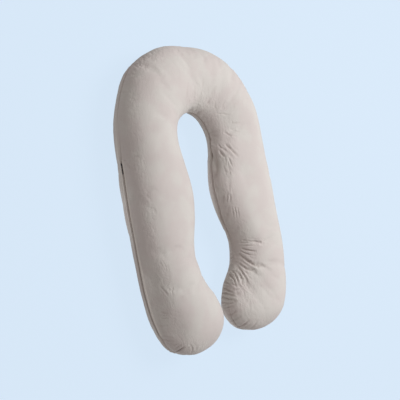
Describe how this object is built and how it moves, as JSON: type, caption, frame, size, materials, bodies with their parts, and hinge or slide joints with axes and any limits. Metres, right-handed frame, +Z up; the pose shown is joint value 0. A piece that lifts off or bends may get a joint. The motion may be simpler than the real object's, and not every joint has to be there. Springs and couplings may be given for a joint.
{
  "type": "body pillow",
  "caption": "U-shaped full-length body pillow with a round arch, bulging legs with narrow waists, rounded feet and a closed zip in the outer seam.",
  "frame": {"origin": "under the middle of the pillow's box, on the surface that it lies on", "axes": "+Y along the legs towards the arch, +X towards the leg without the zip, +Z up out of the upper face"},
  "size_m": [0.8706, 1.4505, 0.2367],
  "materials": {
    "jersey": "matt brushed cotton jersey, greige, fine crinkles",
    "zip_tape": "closed nylon coil zip, a darker greige",
    "slider": "dark brown lacquered metal"
  },
  "bodies": {
    "root": {"pillow": "jersey", "zip_tape": "zip_tape", "zip_slider": "slider", "zip_pull": "slider"}
  },
  "joints": []
}
